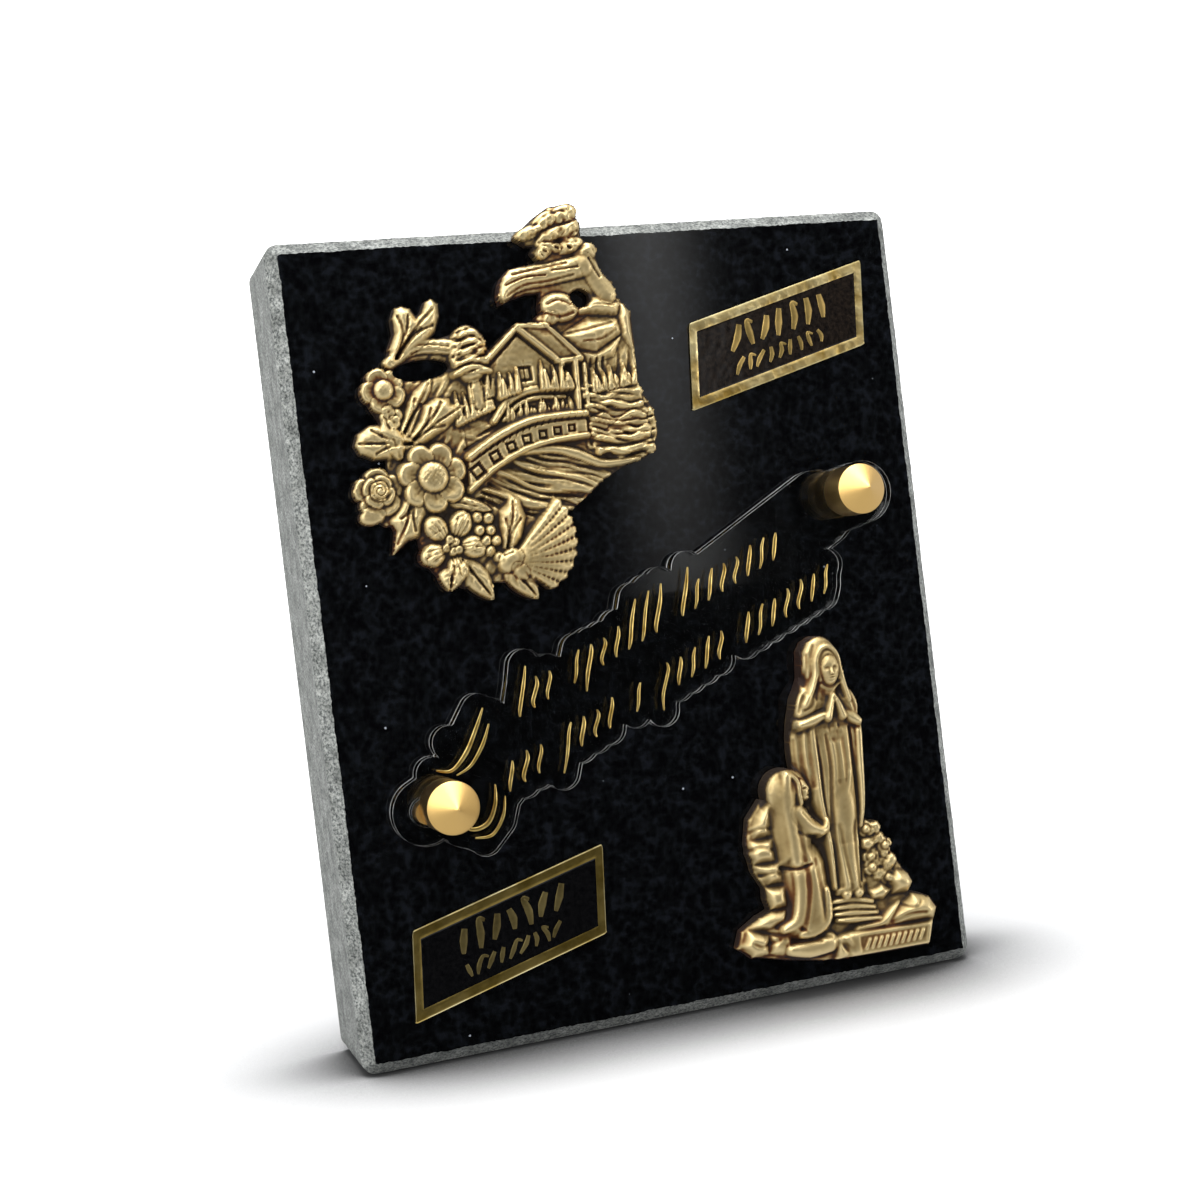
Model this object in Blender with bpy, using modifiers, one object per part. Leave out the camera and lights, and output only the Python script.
# A small memorial plaque: a granite slab with two bronze reliefs, a clear lettering panel
# on two brass fixings, and two foil labels. X runs right, Y back and Z up.
# The origin is the middle of the slab's underside, and the front faces -Y.
# Sizes are in millimetres; MM turns them to metres where a mesh is made.

import math

import bmesh
import bpy
import numpy as np

MM = 0.001

# Slab
SLAB_WIDTH = 123.0
SLAB_HEIGHT = 150.0
SLAB_THICKNESS = 25.0
SLAB_CHAMFER = 2.2
CORNER_RADIUS = 2.6
CORNER_SEGMENTS = 2

# Gap left between any two pieces that touch
SEAT_GAP = 0.3

# Lettering panel and its fixings
PANEL_THICKNESS = 3.0
EYE_RADIUS = 6.1
SLOT_WIDTH = 5.4
SLOT_LENGTH = 3.6
SLOT_CLEARANCE = 0.6
LEFT_SLOT_TURN = math.radians(194.0)
RIGHT_SLOT_TURN = math.radians(-6.0)
LEFT_FIXING = (-41.8, 46.7)
RIGHT_FIXING = (43.9, 94.8)
CAP_DIAMETER = 9.6
CAP_LENGTH = 6.8
CONE_LENGTH = 3.8
CAP_SIDES = 32
FOOT_SIDES = 16
FOOT_OVERLAP = 1.5

# Foil labels, leaning parallelograms
LABEL_WIDTH = 38.3
LABEL_HEIGHT = 16.6
LABEL_THICKNESS = 0.3
LABEL_RISE = 10.2
LABEL_LEAN = 1.3
UPPER_LABEL = (34.9, 126.6)
LOWER_LABEL = (-31.9, 21.4)

# Cast reliefs: each is sampled on a grid, then thinned to a share of its triangles
LANDSCAPE_CENTRE = (-22.0, 117.0)
FIGURES_CENTRE = (32.5, 36.5)
LANDSCAPE_HEIGHT = 71.8
FIGURES_HEIGHT = 62.9
RELIEF_GRID = 0.6
SURVEY_GRID = 3.0
SURVEY_REACH = 90.0
LANDSCAPE_SHARE = 0.155
FIGURES_SHARE = 0.17
PANEL_SHARE = 0.045

FRONT = -SLAB_THICKNESS / 2


def new_collection(name):
    collection = bpy.data.collections.new(name)
    bpy.context.scene.collection.children.link(collection)
    return collection


def finish_material(name, colour, roughness, metallic, transmission=0.0):
    material = bpy.data.materials.new(name)
    material.use_nodes = True
    shader = material.node_tree.nodes["Principled BSDF"]
    shader.inputs["Base Color"].default_value = (*colour, 1.0)
    shader.inputs["Roughness"].default_value = roughness
    shader.inputs["Metallic"].default_value = metallic
    shader.inputs["Transmission Weight"].default_value = transmission
    return material


def add_object(name, mesh, material, collection):
    piece = bpy.data.objects.new(name, mesh)
    piece.data.materials.append(material)
    collection.objects.link(piece)
    return piece


# Slab: a block whose upright corners are rounded and whose front edges are chamfered

def make_slab(material, collection):
    shell = bmesh.new()
    bmesh.ops.create_cube(shell, size=1.0)
    size = (SLAB_WIDTH * MM, SLAB_THICKNESS * MM, SLAB_HEIGHT * MM)
    bmesh.ops.scale(shell, vec=size, verts=shell.verts)
    bmesh.ops.translate(shell, vec=(0, 0, SLAB_HEIGHT / 2 * MM), verts=shell.verts)
    corners = [e for e in shell.edges if abs(e.verts[0].co.y - e.verts[1].co.y) > MM]
    bmesh.ops.bevel(shell, geom=corners, offset=CORNER_RADIUS * MM, segments=CORNER_SEGMENTS,
                    profile=0.5, affect="EDGES")
    front = FRONT * MM + 1e-6
    rim = [e for e in shell.edges if e.verts[0].co.y < front and e.verts[1].co.y < front]
    bmesh.ops.bevel(shell, geom=rim, offset=SLAB_CHAMFER * MM, segments=1, affect="EDGES")
    mesh = bpy.data.meshes.new("granite_slab")
    shell.to_mesh(mesh)
    shell.free()
    return add_object("granite_slab", mesh, material, collection)


# Relief: a height over the slab's face, and how far inside the outline each point lies

OUTSIDE = -99.0
SKIRT = 1.6
SKIRT_SLOPE = 2.5
BLEND = 0.35
RUN_STEPS = 4


class Field:
    def __init__(self, x, z):
        self.x = x
        self.z = z
        self.inside = np.full(x.shape, OUTSIDE)
        self.height = np.zeros(x.shape)

    def local(self, centre, turn=0.0):
        dx = self.x - centre[0]
        dz = self.z - centre[1]
        c, s = math.cos(turn), math.sin(turn)
        return dx * c + dz * s, dz * c - dx * s

    def add(self, inside, height):
        # A form keeps its height inside its outline, falls steeply past it, and runs softly into the rest
        near = inside > -SKIRT
        height = height + np.minimum(inside, 0) * SKIRT_SLOPE
        apart = self.height - height
        joined = (self.height + height + np.sqrt(apart * apart + BLEND * BLEND)) / 2
        joined = np.where(self.inside > -SKIRT, joined, height)
        self.height = np.where(near, joined, self.height)
        self.inside = np.maximum(self.inside, inside)

    def carve(self, inside, depth):
        self.height = np.where(inside > 0, self.height - depth, self.height)

    def cut(self, inside):
        self.inside = np.minimum(self.inside, -inside)


def dome(f, centre, radii, low, rise, turn=0.0):
    p, q = f.local(centre, math.radians(turn))
    reach = np.hypot(p / radii[0], q / radii[1])
    crown = np.sqrt(np.clip(1 - reach ** 2, 0, 1))
    f.add((1 - reach) * min(radii), low + rise * crown)


def smooth_run(points, radii):
    # Points and radii read from a smooth curve through the ones given
    run = []
    last = len(points) - 1
    for i in range(last):
        p0, p1, p2, p3 = (points[max(i - 1, 0)], points[i], points[i + 1], points[min(i + 2, last)])
        for k in range(RUN_STEPS):
            t = k / RUN_STEPS
            spot = []
            for a, b, c, d in zip(p0, p1, p2, p3):
                curve = (2 * b + (c - a) * t + (2 * a - 5 * b + 4 * c - d) * t ** 2
                         + (3 * b - a - 3 * c + d) * t ** 3) / 2
                spot.append(curve)
            run.append((*spot, radii[i] + (radii[i + 1] - radii[i]) * t))
    run.append((*points[last], radii[last]))
    return run


def bar(f, points, radii, low, rise):
    inside = np.full(f.x.shape, OUTSIDE)
    height = np.zeros(f.x.shape)
    run = smooth_run(points, radii)
    for (x0, z0, r0), (x1, z1, r1) in zip(run, run[1:]):
        length = math.hypot(x1 - x0, z1 - z0)
        p, q = f.local((x0, z0), math.atan2(z1 - z0, x1 - x0))
        t = np.clip(p / length, 0, 1)
        radius = r0 + (r1 - r0) * t
        away = np.hypot(p - t * length, q)
        crown = np.sqrt(np.clip(1 - (away / radius) ** 2, 0, 1))
        inside = np.maximum(inside, radius - away)
        height = np.maximum(height, low + rise * crown)
    f.add(inside, height)


def gown(f, top, bottom, half_top, half_bottom, low, rise, pleats, depth):
    # Cloth hanging from top to bottom, rounded across, its folds opening towards the hem
    length = math.hypot(bottom[0] - top[0], bottom[1] - top[1])
    p, q = f.local(top, math.atan2(bottom[1] - top[1], bottom[0] - top[0]))
    t = np.clip(p / length, 0, 1)
    half = half_top + (half_bottom - half_top) * t
    across = q / half
    inside = np.minimum(half - np.abs(q), np.minimum(p, length - p))
    crown = np.sqrt(np.clip(1 - across ** 2, 0, 1))
    fold = depth * np.cos(math.pi * pleats * across + 1.2 * np.sin(2.2 * t + pleats)) * (0.35 + 0.65 * t)
    f.add(inside, low + rise * crown + fold * np.clip((1 - np.abs(across)) * 3, 0, 1))


def polygon_inside(f, points):
    away = np.full(f.x.shape, 1e9)
    wound = np.zeros(f.x.shape, bool)
    for i in range(len(points)):
        (x0, z0), (x1, z1) = points[i - 1], points[i]
        dx, dz = x1 - x0, z1 - z0
        t = np.clip(((f.x - x0) * dx + (f.z - z0) * dz) / (dx * dx + dz * dz), 0, 1)
        away = np.minimum(away, np.hypot(f.x - x0 - t * dx, f.z - z0 - t * dz))
        crosses = (z0 > f.z) != (z1 > f.z)
        side = x0 + (f.z - z0) * dx / (dz if dz else 1e-9)
        wound ^= crosses & (f.x < side)
    return np.where(wound, away, -away)


def plate(f, points, low, crown=0.0, soft=2.0):
    inside = polygon_inside(f, points)
    shoulder = np.sin(np.clip(inside / soft, 0, 1) * math.pi / 2)
    f.add(inside, low + crown * shoulder)


def leaf(f, root, tip, width, low, rise, lobes=0):
    length = math.hypot(tip[0] - root[0], tip[1] - root[1])
    p, q = f.local(root, math.atan2(tip[1] - root[1], tip[0] - root[0]))
    t = np.clip(p / length, 0.001, 0.999)
    half = width / 2 * np.sin(math.pi * t ** 0.8) ** 0.7
    if lobes:
        half = half * (0.82 + 0.26 * np.cos(2 * math.pi * lobes * t + 2.6))
    half = np.maximum(half, 0.02)
    inside = np.minimum((half - np.abs(q)) * 0.8, np.minimum(p, length - p))
    blade = 1 - np.clip(np.abs(q) / half, 0, 1) ** 2
    vein = 0.45 * np.exp(-(q / 0.35) ** 2)
    f.add(inside, low + rise * np.sqrt(blade) * (0.55 + 0.45 * t) - vein)


def petal(f, root, tip, width, low, rise):
    # A cupped oval, broad towards its tip, with a crease down the middle
    length = math.hypot(tip[0] - root[0], tip[1] - root[1])
    p, q = f.local(root, math.atan2(tip[1] - root[1], tip[0] - root[0]))
    t = p / length - 0.58
    reach = np.hypot(t / 0.44, q / (width * (0.5 + 0.12 * t)))
    crown = np.sqrt(np.clip(1 - reach ** 4, 0, 1))
    crease = 0.3 * np.exp(-(q / 0.3) ** 2) * np.clip(1 - reach, 0, 1)
    f.add((1 - reach) * width / 2, low + rise * crown * (0.8 + 0.35 * t) - crease)


def flower(f, centre, reach, petals, low, rise, turn=0.0, heart=0.4):
    for k in range(petals):
        angle = math.radians(turn) + 2 * math.pi * k / petals
        tip = (centre[0] + reach * math.cos(angle), centre[1] + reach * math.sin(angle))
        petal(f, centre, tip, 1.75 * reach * math.sin(math.pi / petals), low, rise)
    p, q = f.local(centre)
    away = np.hypot(p, q) / (reach * heart)
    button = np.sqrt(np.clip(1 - away ** 3, 0, 1))
    f.add((1 - away) * reach * heart, low + rise * (0.5 + 0.9 * button))


def rose(f, centre, reach, low, rise):
    p, q = f.local(centre)
    r = np.hypot(p, q) / reach
    angle = np.arctan2(q, p)
    whorl = 0.3 * np.cos(2 * math.pi * (2.6 * r - angle / (2 * math.pi)))
    edge = 1 + 0.07 * np.cos(5 * angle + 0.6)
    crown = np.sqrt(np.clip(1 - (r / edge) ** 2, 0, 1))
    f.add((edge - r) * reach, low + rise * crown + whorl * np.clip(r * 3, 0, 1))


def shell(f, hinge, reach, heading, spread, ribs, low, rise):
    p, q = f.local(hinge, math.radians(heading))
    r = np.hypot(p, q)
    angle = np.arctan2(q, p) / math.radians(spread)
    rim = reach * (1 + 0.2 * angle - 0.1 * angle ** 2 + 0.01 * np.cos(angle * math.pi * ribs))
    inside = np.minimum(rim - r, (1 - np.abs(angle)) * math.radians(spread) * np.maximum(r, 0.1))
    t = np.clip(r / rim, 0, 1)
    fold = 0.3 * np.cos(angle * math.pi * ribs) * np.clip(t * 1.5, 0, 1)
    f.add(inside, low + rise * np.sin(math.pi * (0.18 + 0.68 * t)) * (1 - 0.3 * angle ** 2) + fold)


def cluster(f, centre, radii, count, size, low, rise, turn=0.0):
    for k in range(count):
        t = math.sqrt((k + 0.5) / count)
        angle = k * math.radians(137.5) + turn
        spot = (centre[0] + radii[0] * t * math.cos(angle), centre[1] + radii[1] * t * math.sin(angle))
        dome(f, spot, (size, size), low + rise * (1 - t * t) * 0.5, rise * 0.6)


def blades(f, start, end, count, tall, low, rise, lean=8.0):
    for k in range(count):
        t = (k + 0.5) / count
        x = start[0] + (end[0] - start[0]) * t
        z = start[1] + (end[1] - start[1]) * t
        angle = math.radians(90 + lean * math.sin(k * 2.4))
        high = tall * (0.8 + 0.25 * math.cos(k * 1.7))
        leaf(f, (x, z), (x + high * math.cos(angle), z + high * math.sin(angle)), 1.5, low, rise)


def ripple(f, inside, depth, pitch, slope, bend):
    wave = f.z - slope * f.x + bend * np.sin(f.x * 0.55)
    blend = np.clip(inside / 0.8, 0, 1)
    f.height = f.height + depth * blend * np.sin(2 * math.pi * wave / pitch)


# Landscape relief: tree, cottage, arched bridge over water, rocks, flowers and a shell.
# Its places are measured from its own centre.

def landscape_field(f):
    ground = [(-22, -16), (-18, -21), (-11, -27), (0, -27), (9.5, -21), (14, -18), (18, -15), (22, -13),
              (26.5, -11.8), (28.4, -10), (29.4, -7.5), (29.5, -5.5), (28.6, -3), (27.2, 0), (26.7, 3),
              (26.7, 16), (24.6, 18.6), (24, 21), (22, 23.2), (18, 22), (14.5, 21), (14, 17), (9, 16),
              (8, 14.3), (3.8, 14.2), (-1.6, 9.6), (-7, 7), (-14, 5.5), (-18, 1)]
    plate(f, ground, 1.6, 0.5, 1.2)
    garden = [(-25.6, 4.4), (-24, 7.2), (-20.5, 8.6), (-20, 11.6), (-18, 13.2), (-12, 13.2), (-8, 14),
              (-5.4, 15.2), (-2.6, 13), (-1, 9.6), (-1.6, 3.5), (-8, -1), (-7, -14), (-2, -18), (0, -24),
              (-3, -32), (-8, -31.4), (-14.4, -31), (-16, -28.4), (-18, -27), (-18.6, -22), (-21, -19.4),
              (-24, -19.6), (-27.6, -17), (-28, -14), (-26, -10.6), (-22.6, -9.4), (-22.6, -6),
              (-25, -3.6), (-22.8, -1), (-24.2, 1.4)]
    plate(f, garden, 1.6, 0.3, 1.2)

    # Hillside and rocks on the right
    hill = [(9, 14), (14, 18), (20, 19.5), (24.4, 18.4), (26.6, 15.8), (26.6, 4), (17, 4), (15, 9)]
    plate(f, hill, 2.1, 0.9, 3.0)
    dome(f, (18.4, 12.6), (5.6, 3.9), 2.3, 1.3, 20)
    dome(f, (13, 11.5), (2.6, 2.2), 2.2, 0.7)
    bar(f, [(12.6, 15.2), (17.5, 16.6), (22.5, 18.6)], [0.9, 1.2, 1.0], 2.4, 0.9)
    plate(f, [(14.6, 3.4), (26.4, 3.4), (28.4, -1.4), (29.4, -7.0), (28.4, -10.6), (23, -12.2), (16, -9),
              (14.8, -3)], 2.2, 0.6, 2.0)
    for x, z, rx, rz, rise, turn in ((17.2, 1.6, 3.2, 1.7, 1.1, 8), (22.6, 1.4, 4.0, 1.5, 1.3, -6),
                                     (18.6, -1.4, 3.9, 1.9, 1.3, 5), (25.2, -1.8, 3.2, 2.0, 1.5, 0),
                                     (17.6, -5.0, 2.8, 2.2, 1.1, -8), (22.4, -4.8, 3.4, 2.2, 1.6, 6),
                                     (26.8, -5.6, 2.6, 2.4, 1.5, 0), (19.4, -8.6, 3.4, 1.7, 1.2, -14),
                                     (25.2, -9.4, 3.8, 1.8, 1.5, 10)):
        dome(f, (x, z), (rx, rz), 2.4, rise, turn)

    # Water under the bridge
    water = [(-8, -17), (-1, -9.5), (5, -8), (14, -8), (19, -11), (26, -12), (22, -13.2), (14, -18),
             (10, -21.5), (2, -21), (-5, -18)]
    ripple(f, polygon_inside(f, water), 0.28, 1.9, -0.42, 0.35)

    # Mound, path and grass
    bar(f, [(-2, -2), (1.5, 1.2), (5.5, 2.6), (9.5, 2.4)], [0.7, 0.8, 0.8, 0.6], 2.2, 0.8)
    blades(f, (-1.5, -2), (13, -1.2), 9, 3.0, 2.0, 0.7)
    blades(f, (-8.5, 0), (0, 3), 6, 4.2, 2.0, 0.9)
    blades(f, (9, 3), (16, 2), 6, 4.6, 2.1, 0.9)
    blades(f, (18, 1.5), (26, 2.2), 5, 3.2, 2.9, 0.7)

    # Cottage: gable wall, lean-to roof, window and a post by the corner
    plate(f, [(4, 13.6), (-1.6, 9.0), (-1.6, 3.5), (11.4, 3.5), (11.4, 7.6)], 2.9)
    plate(f, [(4.4, 14.2), (10, 14.2), (15.6, 7.8), (11.4, 7.6)], 2.9, 0.4, 1.0)
    for eave in ((-2.2, 9.2), (11.4, 7.7), (9.6, 14.4)):
        bar(f, [(4, 14.1), eave], [0.6, 0.55], 2.9, 0.7)
    bar(f, [(11, 7.6), (15.8, 7.7)], [0.55, 0.55], 2.7, 0.6)
    window = polygon_inside(f, [(3.5, 4.8), (5.8, 4.8), (5.8, 7.2), (3.5, 7.2)])
    f.carve(window, 0.7)
    bar(f, [(14.3, -1.5), (14.6, 7)], [0.6, 0.6], 2.6, 0.7)
    doorway = polygon_inside(f, [(17.2, 4.8), (20.6, 4.8), (20.6, 8.2), (17.2, 8.2)])
    f.carve(doorway, 0.6)

    # Arched bridge with square openings
    lower = [(-7, -14.5), (-3, -10.4), (2, -8), (8, -6.8), (15.5, -6.6)]
    upper = [(-8.6, -8.6), (-4, -5.4), (2, -2.9), (8, -2.3), (15.5, -2.6)]
    plate(f, lower + upper[::-1], 2.9, 0.2, 0.6)
    bar(f, upper, [0.6, 0.65, 0.6, 0.55, 0.5], 3.0, 0.7)
    bar(f, lower, [0.5, 0.5, 0.5, 0.45, 0.4], 2.9, 0.5)
    for k in range(7):
        t = k / 6
        x = -5.4 + 18.6 * t ** 0.86
        z = -10.6 + 4.9 * math.sin(min(1.0, t * 1.15) * math.pi / 2)
        half = 1.15 - 0.5 * t
        p, q = f.local((x, z), math.radians(34 * (1 - t) ** 1.3))
        f.carve(half - np.maximum(np.abs(p), np.abs(q)), 0.6)

    # Tall tree: crown in two tiers, long branch, and the bush below it
    crown = [(5.7, 30.8), (10, 34.3), (13, 36.1), (15.5, 36.4), (17.8, 35.3), (18.8, 33), (18.8, 30.5),
             (21.3, 27), (22, 23.2), (24, 21.6), (24.6, 18.6), (20, 19.5), (14, 18), (9, 17.5), (9.5, 20.3),
             (7, 20.3), (3.5, 19.4), (1.6, 18.6), (2, 22.6), (4, 25), (7, 25.4), (10, 26.2), (8.8, 27.8),
             (9.4, 29), (8, 29.2)]
    plate(f, crown, 2.0, 0.6, 1.6)
    dome(f, (14.6, 33.2), (4.2, 2.7), 2.4, 1.5, 20)
    dome(f, (9.6, 31.6), (3.4, 1.5), 2.3, 1.0, 38)
    dome(f, (13.6, 29.8), (4.6, 2.0), 2.3, 1.2, 10)
    for k in range(4):
        dome(f, (10.4 + 2.5 * k, 27.5 + 0.35 * k), (1.4, 1.3), 2.3, 0.9)
    bar(f, [(2.4, 19.9), (5, 22.9), (12, 23.7), (18.4, 24.9)], [0.9, 2.1, 1.9, 2.1], 2.3, 1.5)
    bar(f, [(18.6, 26.4), (20.2, 23), (22.4, 19.4)], [2.0, 1.8, 2.0], 2.1, 1.1)
    dome(f, (12.5, 17.2), (3.4, 2.3), 2.3, 1.5)
    dome(f, (9.8, 15.6), (2.2, 1.6), 2.2, 0.9)
    dome(f, (16, 15.8), (2.8, 1.5), 2.2, 0.9, 25)
    eye = f.local((17.0, 18.8), math.radians(10))
    f.cut((1 - np.hypot(eye[0] / 2.1, eye[1] / 1.8)) * 1.8)

    # Small layered tree on the left, its branch and the slot under it
    dome(f, (-4.9, 10.4), (3.2, 5.4), 2.1, 1.2)
    for x, z, rx, rz in ((-5.4, 14.0, 2.6, 1.6), (-4.6, 12.0, 3.3, 1.7), (-4.8, 9.6, 3.2, 1.7),
                         (-5.0, 7.2, 3.4, 1.9)):
        dome(f, (x, z), (rx, rz), 2.5, 1.3)
    bar(f, [(-4.6, 5), (-4.4, 2)], [1.0, 1.2], 2.0, 0.8)
    bar(f, [(-20, 9.6), (-15, 12.2), (-8, 11.4)], [1.3, 1.4, 1.5], 1.9, 1.1)
    petal(f, (-18.8, 8.4), (-17.6, 19.6), 4.4, 1.9, 1.4)
    petal(f, (-17.6, 10), (-10.6, 21.0), 5.0, 1.9, 1.5)
    leaf(f, (-19.8, 7), (-19.4, 16.4), 3.6, 1.8, 0.9)

    # Flowers, rose and leaves down the left side
    for root, tip, width, lobes in (((-19, -3.5), (-7.4, 1.2), 7.2, 3), ((-19.5, -3), (-13, 6.2), 4.4, 2),
                                    ((-19, -4.6), (-28.4, -4.2), 6.8, 0), ((-20, -5), (-26, 0.8), 3.6, 0),
                                    ((-20, -12), (-24.2, -24.2), 5.6, 2), ((-20, -10), (-16, -21), 5.0, 0),
                                    ((-13, -15.6), (-3.4, -18.8), 2.6, 0), ((-19, -8), (-22.5, 3), 3.4, 0)):
        leaf(f, root, tip, width, 2.0, 1.3, lobes)
    flower(f, (-21.8, 4.8), 4.0, 5, 2.1, 1.1, 40, 0.46)
    cluster(f, (-20.8, 0.6), (1.6, 1.6), 4, 1.2, 2.0, 0.9)
    rose(f, (-25, -13.6), 4.1, 2.3, 1.5)
    dome(f, (-20.6, -13), (1.5, 2.8), 2.1, 1.2, 10)
    dome(f, (-26.2, -17.4), (2.6, 1.8), 2.0, 0.8, 10)
    flower(f, (-14.8, -11.4), 6.2, 6, 2.6, 1.5, 32)
    flower(f, (-12.8, -24.4), 5.4, 5, 2.3, 1.3, 54, 0.2)
    cluster(f, (-12.8, -24.4), (1.7, 1.7), 6, 0.7, 2.8, 0.9)
    cluster(f, (-6, -22.4), (2.0, 4.2), 9, 1.0, 2.2, 1.3)
    plate(f, [(-18, -23), (-17.6, -27), (-15.4, -30), (-11, -32.2), (-7, -31), (0, -27), (-8, -18)],
          1.7, 0.6, 1.5)
    leaf(f, (-11, -27), (-6, -34.8), 4.6, 1.9, 1.1)
    leaf(f, (-13, -28), (-14, -32), 4.4, 1.8, 0.9)
    leaf(f, (-3, -28), (2.4, -35.6), 4.8, 1.9, 1.1)
    leaf(f, (-2.6, -25), (0.6, -17), 3.8, 2.3, 1.4)

    # Scallop shell with its hinge
    shell(f, (-2.6, -27.4), 13.1, 0, 44, 9, 2.3, 1.7)
    dome(f, (-3, -26.8), (2.2, 2.4), 2.3, 1.5)
    dome(f, (-1, -29), (2.2, 1.6), 2.2, 1.2, 20)

    slot = f.local((-14.4, 8.0), math.radians(4))
    f.cut((1 - np.hypot(slot[0] / 5.4, slot[1] / 1.9)) * 1.9)


# Figures relief: a standing veiled woman with joined hands, a kneeling girl, rocks and roses.
# Its places are measured from its own centre.

def figures_field(f):
    # Rocks behind and the foot of the casting
    plate(f, [(-20.9, -25), (-19.4, -22.4), (-16, -20.6), (-13.5, -19.4), (-14, -15.6), (-16.6, -11.8),
              (-17.4, -6.4), (-16.4, -1.6), (-13.4, 1.8), (-10, 0), (-6, -6), (3, -6), (8, -4), (11.6, -9),
              (14.6, -15.2), (15.4, -19.4), (19.4, -22.6), (20.0, -26), (18, -31), (6, -31.6), (-4, -30.6),
              (-12, -29.6), (-19, -27.4)], 2.0, 0.6, 1.2)
    rocks = ([(-17, -2), (-14.6, 1.6), (-11, 0.6), (-10.6, -4), (-15.8, -5)],
             [(-17.6, -6.6), (-16.4, -4.6), (-11, -4.4), (-11, -9.6), (-16.6, -10.2)],
             [(-16.6, -12), (-15.6, -10), (-11, -9.8), (-11, -16.4), (-13.8, -16.8)],
             [(-19.4, -22.4), (-16, -19.8), (-12, -17.6), (-11, -21.6), (-15.6, -22.6)],
             [(-20.6, -24.8), (-17, -22.2), (-12.6, -23.4), (-13, -27), (-18.8, -27)],
             [(-15.6, -25), (-9.6, -25.6), (-9, -28.6), (-14.4, -29)])
    for k, rock in enumerate(rocks):
        plate(f, rock, 2.3 + 0.3 * math.sin(k * 2.3), 1.7, 2.0)

    # Standing woman: mantle, dress, sleeves, joined hands and veiled head
    mantle = [(1.5, 31.3), (-1, 29.6), (-2.1, 27), (-2.4, 24), (-3, 21.4), (-4.6, 18.4), (-5.8, 15.4),
              (-6.2, 12), (-5.8, 6), (-4.6, 0), (-3, -5), (-1.2, -8), (-1.2, -19.6), (6.4, -19.8),
              (6.2, -10), (7.2, -3), (8.2, 2), (8.6, 8), (8.9, 13), (8.4, 17), (7, 21), (6, 24), (5.9, 27),
              (4.9, 29.8), (3.4, 31.2)]
    plate(f, mantle, 2.4, 2.0, 3.4)
    gown(f, (2.2, 13.6), (2.6, -19.2), 2.6, 3.9, 3.2, 2.3, 3, 0.32)
    gown(f, (-2.2, 16.4), (-1.6, -9), 2.9, 1.6, 3.2, 1.9, 2, 0.3)
    gown(f, (7.0, 16.4), (6.6, -7), 1.9, 1.3, 3.2, 1.8, 1, 0.25)
    bar(f, [(4.6, 11.6), (3.4, 4), (0.4, -3), (0.2, -10)], [0.5, 0.8, 0.9, 0.6], 4.6, 1.0)
    dome(f, (2.6, -18.4), (3.4, 1.4), 3.4, 1.6)
    bar(f, [(-4.0, 14.0), (-1.2, 15.6), (1.6, 16.2)], [1.5, 1.5, 1.1], 4.4, 1.6)
    bar(f, [(8.0, 14.0), (6.4, 15.6), (4.2, 16.3)], [1.4, 1.4, 1.1], 4.4, 1.4)
    bar(f, [(1.9, 15.4), (2.9, 19.8)], [1.0, 0.5], 5.2, 1.2)
    bar(f, [(4.0, 15.6), (3.0, 19.8)], [1.0, 0.5], 5.2, 1.0)
    dome(f, (2.0, 25.4), (4.2, 5.9), 2.8, 2.2)
    bar(f, [(-3.6, 17.6), (-1.8, 21), (-1.2, 25.6), (0.2, 29), (2.6, 30.2), (4.8, 28.6), (5.2, 25), (6.6, 19)],
        [1.2, 1.1, 1.0, 1.0, 1.0, 1.0, 0.9, 1.1], 4.2, 1.1)
    dome(f, (2.9, 25.4), (1.9, 2.7), 4.4, 1.4)
    bar(f, [(2.9, 23.4), (2.8, 20.8)], [1.1, 1.6], 3.8, 1.0)

    # Kneeling girl seen from the side, hooded, hands joined before her
    skirt = [(-11.9, -4), (-12, -21.6), (-15.2, -22.6), (-15.4, -24.6), (-11.6, -27.2), (-4.6, -25.4),
             (-2.8, -23), (-2.7, -9.6), (-4, -7.4), (-5.4, -2)]
    plate(f, skirt, 2.8, 2.0, 2.6)
    gown(f, (-5.2, -6.8), (-4.8, -24.4), 1.7, 2.2, 3.8, 1.3, 1, 0.25)
    gown(f, (-9.6, -8.6), (-9.4, -22.6), 2.4, 3.0, 3.8, 1.4, 2, 0.35)
    bar(f, [(-14.6, -23.4), (-10.6, -22.6), (-6.4, -25.2)], [1.1, 1.6, 1.3], 3.4, 1.3)
    dome(f, (-8.6, 2.6), (4.3, 4.5), 3.6, 2.5)
    dome(f, (-5.6, 2.6), (2.1, 2.6), 3.8, 1.2)
    gown(f, (-9.2, 3.2), (-9.2, -10.4), 3.3, 3.4, 3.6, 2.2, 2, 0.35)
    bar(f, [(-6.6, -0.6), (-5.2, -4.2), (-3.0, -6.0)], [1.9, 2.0, 1.3], 4.0, 1.7)
    bar(f, [(-4.4, -6.2), (-2.0, -5.4), (-1.4, -2.6)], [1.2, 1.2, 0.7], 4.2, 1.3)
    bar(f, [(-10.4, -28.2), (-3.2, -28.4)], [1.6, 1.8], 2.4, 2.4)

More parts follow.
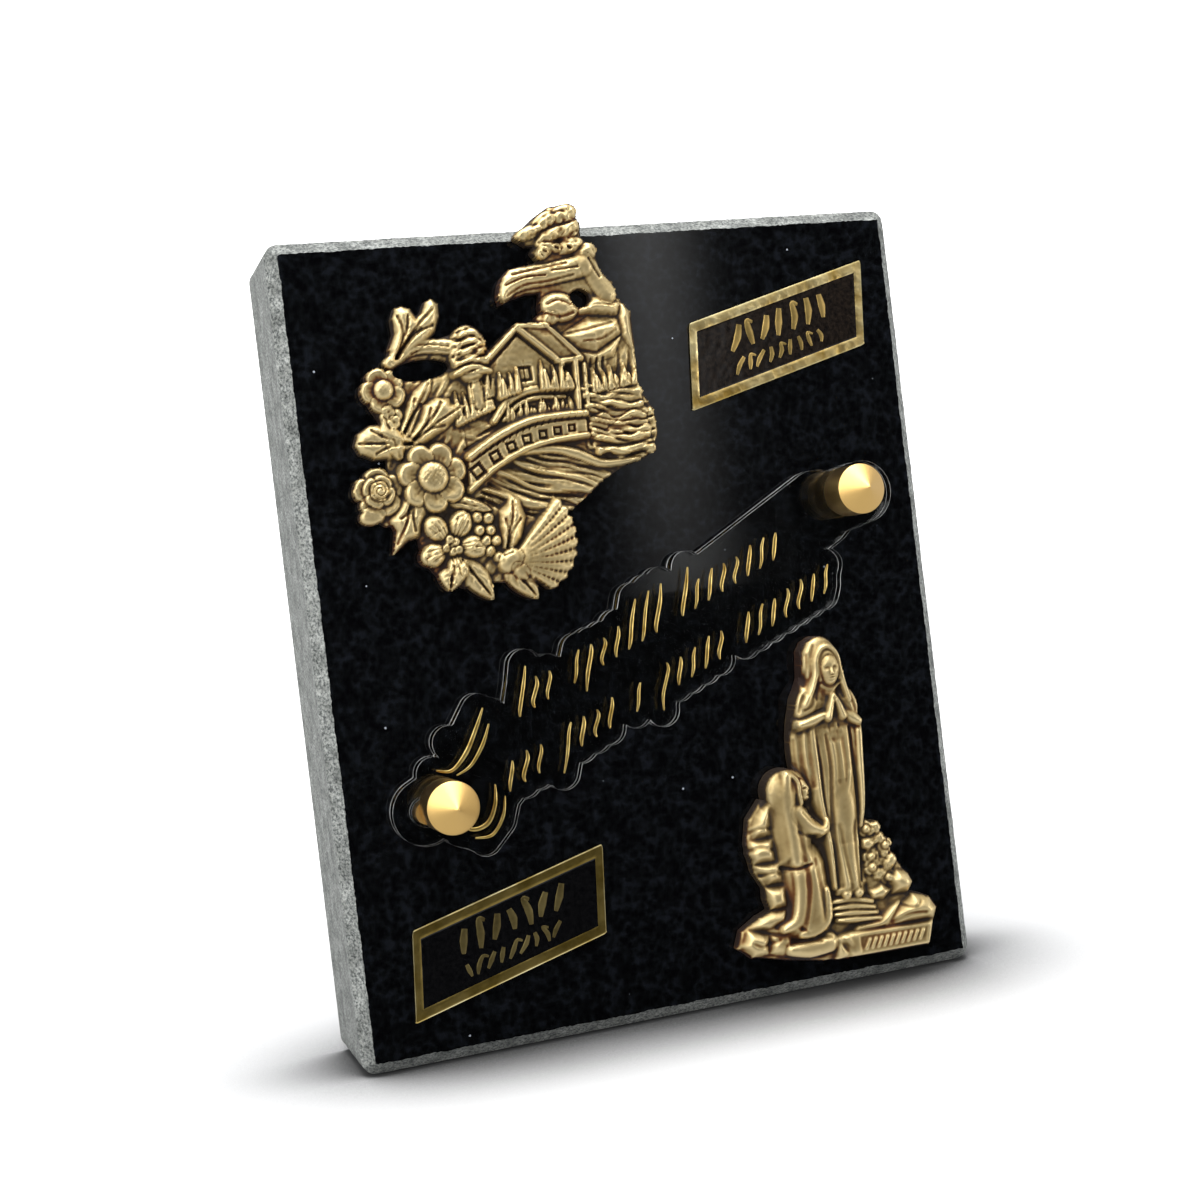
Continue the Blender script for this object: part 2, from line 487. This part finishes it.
    # Roses, boulder, cushion-like stones and the base block with its sunk panel
    cluster(f, (9.4, -9.6), (2.0, 5.0), 9, 1.5, 2.4, 1.8, 0.5)
    cluster(f, (9.0, -17.2), (3.2, 2.6), 8, 1.4, 2.6, 1.9, 1.1)
    dome(f, (12.8, -17.6), (2.9, 2.6), 2.6, 2.2, -20)
    for k in range(3):
        bar(f, [(-2.2 + 0.8 * k, -20.6 - 1.5 * k), (7.4, -21.4 - 1.6 * k)], [0.7, 0.7], 3.2, 1.0)
    bar(f, [(9.4, -24.6), (14.5, -21.9)], [1.4, 1.7], 3.2, 1.9)
    dome(f, (16.4, -22.8), (3.6, 3.2), 2.8, 2.2, -30)
    dome(f, (13.4, -25.6), (3.6, 1.6), 3.2, 1.6)
    plate(f, [(-1.6, -31.2), (-2.2, -26), (19.4, -26.6), (18.4, -31.4)], 3.2, 1.0, 0.8)
    bar(f, [(2.2, -26.4), (18.6, -26.4)], [0.6, 0.6], 3.8, 0.8)
    sunk = polygon_inside(f, [(3.4, -30.2), (3.2, -27.2), (17.6, -27.4), (17.0, -30.2)])
    f.carve(sunk, 0.5)


# Lettering panel: cut at one distance round two rising rows of strokes that spell nothing,
# with an eye at each end. A row's letters say which strokes are tall (t), short (s) or
# dropped (d). Places are measured from the point midway between the fixings.

STROKE_MARGIN = 3.15
ROW_TURN = math.radians(23.2)
STROKE_LEAN = 0.8
SHORT_STROKE = 2.3
TALL_STROKE = 5.2
DROPPED_STROKE = 4.8
UPPER_ROW = ((-26.55, -7.55), 3.05, "tss sdssttt tsssssss")
LOWER_ROW = ((-30.05, -20.75), 3.15, "sss dsss s dssss sssssss")
FLOURISHES = (((-44.2, -18.3), (-39.6, -17.3), (-34.6, -8.1)), ((-40.6, -13.1), (-33.4, -12.1)),
              ((-42.0, -25.1), (-36.8, -30.3), (-34.0, -21.3), (-39.4, -20.9)), ((-31.4, -23.7), (-36.0, -31.3)))
MIDDLE_RUN = ((-34.0, -18.7), (37.0, 21.3))
MIDDLE_RADIUS = 7.6


def row_strokes(start, pitch, kinds):
    strokes = []
    for k, kind in enumerate(kinds):
        if kind == " ":
            continue
        top = TALL_STROKE if kind == "t" else SHORT_STROKE
        low = DROPPED_STROKE if kind == "d" else SHORT_STROKE
        ends = []
        for up in (top, -low):
            along = k * pitch + up * STROKE_LEAN
            ends.append((start[0] + along * math.cos(ROW_TURN) - up * math.sin(ROW_TURN),
                         start[1] + along * math.sin(ROW_TURN) + up * math.cos(ROW_TURN)))
        strokes.append(ends)
    return strokes


def panel_centre():
    return ((LEFT_FIXING[0] + RIGHT_FIXING[0]) / 2, (LEFT_FIXING[1] + RIGHT_FIXING[1]) / 2)


def strip_inside(f, start, end, radius):
    length = math.hypot(end[0] - start[0], end[1] - start[1])
    p, q = f.local(start, math.atan2(end[1] - start[1], end[0] - start[0]))
    return radius - np.hypot(p - np.clip(p, 0, length), q)


def panel_field(f):
    f.height[:] = PANEL_THICKNESS
    for run in row_strokes(*UPPER_ROW) + row_strokes(*LOWER_ROW) + list(FLOURISHES):
        for start, end in zip(run, run[1:]):
            f.inside = np.maximum(f.inside, strip_inside(f, start, end, STROKE_MARGIN))
    f.inside = np.maximum(f.inside, strip_inside(f, *MIDDLE_RUN, MIDDLE_RADIUS))
    centre = panel_centre()
    for fixing, turn, root in ((LEFT_FIXING, LEFT_SLOT_TURN, MIDDLE_RUN[0]),
                               (RIGHT_FIXING, RIGHT_SLOT_TURN, MIDDLE_RUN[1])):
        start = (fixing[0] - centre[0], fixing[1] - centre[1])
        eye = (start[0] + SLOT_LENGTH * math.cos(turn), start[1] + SLOT_LENGTH * math.sin(turn))
        f.inside = np.maximum(f.inside, strip_inside(f, eye, root, EYE_RADIUS))
        p, q = f.local(start, turn)
        f.cut(SLOT_WIDTH / 2 - np.hypot(p - np.clip(p, 0, SLOT_LENGTH), q))


# Turns a field into a closed solid: front skin, flat back, and a wall along the outline

def sampled(field, low, high, grid):
    x, z = np.meshgrid(*(np.arange(a, b + grid, grid) for a, b in zip(low, high)), indexing="ij")
    f = Field(x, z)
    field(f)
    return f


def field_solid(name, field, centre, share, material, collection, tall=None):
    # A coarse survey finds the form's reach, and tall sets its real height where one is given
    survey = sampled(field, (-SURVEY_REACH, -SURVEY_REACH), (SURVEY_REACH, SURVEY_REACH), SURVEY_GRID)
    near = survey.inside > -SURVEY_GRID
    low = [line[near].min() - RELIEF_GRID for line in (survey.x, survey.z)]
    high = [line[near].max() + RELIEF_GRID for line in (survey.x, survey.z)]
    f = sampled(field, low, high, RELIEF_GRID)
    x, z = f.x, f.z
    columns, rows = x.shape
    drawn = z[f.inside > 0].max() - z[f.inside > 0].min() + RELIEF_GRID
    scale = tall / drawn if tall else 1.0
    shell = bmesh.new()
    fronts, backs = {}, {}

    def vertex(key, px, pz, height):
        if key not in fronts:
            y = FRONT - SEAT_GAP
            px, pz = (px * scale + centre[0]) * MM, (pz * scale + centre[1]) * MM
            fronts[key] = shell.verts.new((px, (y - height * scale) * MM, pz))
            backs[key] = shell.verts.new((px, y * MM, pz))
        return key

    def corner(i, j):
        return vertex((i, j), x[i, j], z[i, j], f.height[i, j])

    def crossing(a, b):
        a, b = min(a, b), max(a, b)
        t = f.inside[a] / (f.inside[a] - f.inside[b])
        t = min(0.97, max(0.03, t))
        inner = a if f.inside[a] > 0 else b
        px = x[a] + (x[b] - x[a]) * t
        pz = z[a] + (z[b] - z[a]) * t
        return vertex((a, b), px, pz, f.height[inner])

    for i in range(columns - 1):
        for j in range(rows - 1):
            square = [(i, j), (i + 1, j), (i + 1, j + 1), (i, j + 1)]
            for triangle in ((square[0], square[1], square[2]), (square[0], square[2], square[3])):
                loop, rim = [], []
                for k in range(3):
                    a, b = triangle[k], triangle[(k + 1) % 3]
                    if f.inside[a] > 0:
                        loop.append(corner(*a))
                    if (f.inside[a] > 0) != (f.inside[b] > 0):
                        loop.append(crossing(a, b))
                        rim.append(len(loop) - 1)
                if len(loop) < 3:
                    continue
                shell.faces.new([fronts[k] for k in loop])
                shell.faces.new([backs[k] for k in reversed(loop)])
                if rim:
                    add_wall(shell, loop, rim, fronts, backs)
    bmesh.ops.triangulate(shell, faces=shell.faces)
    bmesh.ops.recalc_face_normals(shell, faces=shell.faces)
    mesh = bpy.data.meshes.new(name)
    shell.to_mesh(mesh)
    shell.free()
    piece = add_object(name, mesh, material, collection)
    thin = piece.modifiers.new("thin", "DECIMATE")
    thin.ratio = share
    return piece


def add_wall(shell, loop, rim, fronts, backs):
    first, last = rim
    if last - first != 1:
        first, last = last, first
    a, b = loop[first], loop[last]
    shell.faces.new([fronts[b], fronts[a], backs[a], backs[b]])


def make_label(name, centre, material, collection):
    half_x, half_z = LABEL_WIDTH / 2, LABEL_HEIGHT / 2
    outline = [(-half_x, -half_z), (half_x, -half_z), (half_x, half_z), (-half_x, half_z)]
    curve = bpy.data.curves.new(name, "CURVE")
    curve.dimensions = "2D"
    curve.fill_mode = "BOTH"
    curve.extrude = LABEL_THICKNESS / 2 * MM
    spline = curve.splines.new("POLY")
    spline.points.add(len(outline) - 1)
    for point, (u, v) in zip(spline.points, outline):
        x = u + LABEL_LEAN * v / LABEL_HEIGHT
        z = v + LABEL_RISE * u / LABEL_WIDTH
        point.co = (x * MM, z * MM, 0, 1)
    spline.use_cyclic_u = True
    label = add_object(name, curve, material, collection)
    depth = FRONT - SEAT_GAP - LABEL_THICKNESS / 2
    label.location = (centre[0] * MM, depth * MM, centre[1] * MM)
    label.rotation_euler = (math.radians(90), 0, 0)
    return label


# Fixing: a turned cap with a coned front, and a foot that stands in the panel's slot

def make_fixing(name, place, turn, material, collection, cutters):
    radius = CAP_DIAMETER / 2
    seat = PANEL_THICKNESS + SEAT_GAP
    profile = [(0, seat), (radius, seat), (radius, seat + CAP_LENGTH), (0, seat + CAP_LENGTH + CONE_LENGTH)]
    lathe = bmesh.new()
    points = [lathe.verts.new((r * MM, 0, h * MM)) for r, h in reversed(profile)]
    for a, b in zip(points, points[1:]):
        lathe.edges.new((a, b))
    mesh = bpy.data.meshes.new(name)
    lathe.to_mesh(mesh)
    lathe.free()
    cap = add_object(name, mesh, material, collection)
    screw = cap.modifiers.new("turn", "SCREW")
    screw.steps = CAP_SIDES
    screw.render_steps = CAP_SIDES
    screw.use_merge_vertices = True
    screw.merge_threshold = 0.00001
    foot = make_foot(name + "_foot", turn, seat + FOOT_OVERLAP, material, cutters)
    join = cap.modifiers.new("foot", "BOOLEAN")
    join.operation = "UNION"
    join.object = foot
    for piece in (cap, foot):
        piece.location = (place[0] * MM, (FRONT - SEAT_GAP) * MM, place[1] * MM)
        piece.rotation_euler = (math.radians(90), 0, 0)
    return cap


def make_foot(name, turn, height, material, cutters):
    radius = SLOT_WIDTH / 2 - SLOT_CLEARANCE
    outline = []
    for k in range(FOOT_SIDES):
        angle = turn + math.pi / 2 + 2 * math.pi * (k + 0.5) / FOOT_SIDES
        shift = SLOT_LENGTH if k >= FOOT_SIDES / 2 else 0.0
        u = radius * math.cos(angle) + shift * math.cos(turn)
        v = radius * math.sin(angle) + shift * math.sin(turn)
        outline.append((u * MM, v * MM))
    shell = bmesh.new()
    face = shell.faces.new([shell.verts.new((u, v, 0)) for u, v in outline])
    grown = bmesh.ops.extrude_face_region(shell, geom=[face])
    tops = [g for g in grown["geom"] if isinstance(g, bmesh.types.BMVert)]
    bmesh.ops.translate(shell, vec=(0, 0, height * MM), verts=tops)
    bmesh.ops.recalc_face_normals(shell, faces=shell.faces)
    mesh = bpy.data.meshes.new(name)
    shell.to_mesh(mesh)
    shell.free()
    foot = add_object(name, mesh, material, cutters)
    foot.hide_render = True
    foot.display_type = "WIRE"
    return foot


def main():
    for old in list(bpy.data.objects):
        bpy.data.objects.remove(old, do_unlink=True)
    plaque = new_collection("memorial_plaque")
    cutters = new_collection("joined_shapes")
    granite = finish_material("polished_granite", (0.008, 0.009, 0.011), 0.08, 0.0)
    bronze = finish_material("antique_bronze", (0.42, 0.31, 0.15), 0.38, 1.0)
    acrylic = finish_material("clear_acrylic", (0.8, 0.8, 0.8), 0.03, 0.0, 0.9)
    brass = finish_material("turned_brass", (0.86, 0.62, 0.28), 0.25, 1.0)
    foil = finish_material("gold_foil", (0.55, 0.42, 0.14), 0.3, 1.0)

    make_slab(granite, plaque)
    field_solid("landscape_relief", landscape_field, LANDSCAPE_CENTRE, LANDSCAPE_SHARE, bronze, plaque,
                LANDSCAPE_HEIGHT)
    field_solid("figures_relief", figures_field, FIGURES_CENTRE, FIGURES_SHARE, bronze, plaque, FIGURES_HEIGHT)
    field_solid("lettering_panel", panel_field, panel_centre(), PANEL_SHARE, acrylic, plaque)
    make_fixing("left_fixing", LEFT_FIXING, LEFT_SLOT_TURN, brass, plaque, cutters)
    make_fixing("right_fixing", RIGHT_FIXING, RIGHT_SLOT_TURN, brass, plaque, cutters)
    make_label("upper_label", UPPER_LABEL, foil, plaque)
    make_label("lower_label", LOWER_LABEL, foil, plaque)


main()
